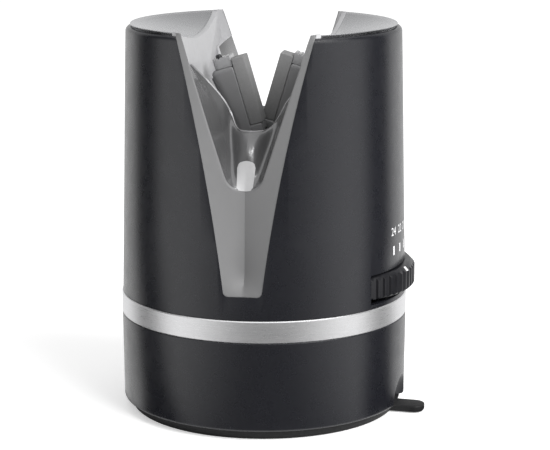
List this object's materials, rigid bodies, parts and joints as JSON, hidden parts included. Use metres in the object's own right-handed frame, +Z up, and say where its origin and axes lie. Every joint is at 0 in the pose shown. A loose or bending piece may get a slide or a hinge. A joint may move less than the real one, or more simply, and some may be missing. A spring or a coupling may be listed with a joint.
{
  "type": "knife sharpener",
  "caption": "Round countertop knife sharpener with a V guide, two crossed stone arms, an angle thumbwheel with a marked scale, a steel band and a suction pad with a pull tab",
  "frame": {"origin": "on the axis of the round body, at the flat underside of the rubber pad", "axes": "+Z up along the axis of the body, -Y towards the front mouth of the V, +X towards the thumbwheel"},
  "size_m": [0.0882, 0.082, 0.1105],
  "materials": {
    "rubber": "matt",
    "shell": "satin",
    "band": "brushed",
    "inner_plastic": "moulded",
    "white": "printed",
    "cap": "satin",
    "guide": "satin",
    "arm": "moulded",
    "stone": "fine grit",
    "stone_cap": "ribbed",
    "wheel": "ribbed",
    "nylon": "moulded",
    "steel": "bright"
  },
  "bodies": {
    "housing": {"suction_pad": "rubber", "pad_washer": "steel", "pad_screw": "steel", "base_shell": "shell", "base_screws": "steel", "trim_band": "band", "deck_plate": "inner_plastic", "outer_shell": "shell", "shell_screws": "steel", "scale_marks": "white", "left_top_cap": "cap", "right_top_cap": "cap", "blade_guide": "guide", "inner_frame": "inner_plastic", "frame_screws": "steel", "pivot_pin": "steel", "pivot_clip": "steel", "left_spring": "steel", "right_spring": "steel", "guide_rods": "steel", "wheel_axle": "steel", "axle_clip": "steel", "click_spring": "steel"},
    "wheel": {"thumbwheel": "wheel", "wheel_pointer": "white"},
    "lift": {"lifter": "nylon"},
    "arm_left": {"left_arm": "arm", "left_stone": "stone", "left_stone_cap": "stone_cap", "left_cap_pin": "wheel", "left_shoe": "nylon"},
    "arm_right": {"right_arm": "arm", "right_stone": "stone", "right_stone_cap": "stone_cap", "right_cap_pin": "wheel", "right_shoe": "nylon"}
  },
  "joints": [
    {"name": "wheel_turn", "type": "hinge", "parent": "housing", "child": "wheel", "pos_m": [0.0145, 0, 0.0395], "axis": [0, 0, 1], "range_deg": [-10.88, 43.52]},
    {"name": "lift_slide", "type": "slide", "parent": "housing", "child": "lift", "axis": [0, 0, 1], "range_m": [-0.00402, 0.00102]},
    {"name": "left_arm_pivot", "type": "hinge", "parent": "housing", "child": "arm_left", "pos_m": [0, 0, 0.0715], "axis": [0, 1, 0], "range_deg": [-2.05, 8.05]},
    {"name": "right_arm_pivot", "type": "hinge", "parent": "housing", "child": "arm_right", "pos_m": [0, 0, 0.0715], "axis": [0, 1, 0], "range_deg": [-8.05, 2.05]}
  ],
  "couplings": [
    {"joint": "lift_slide", "follows": "wheel_turn", "m_per_rad": -0.0052809},
    {"joint": "left_arm_pivot", "follows": "wheel_turn", "ratio": 0.18382},
    {"joint": "right_arm_pivot", "follows": "wheel_turn", "ratio": -0.18382}
  ]
}
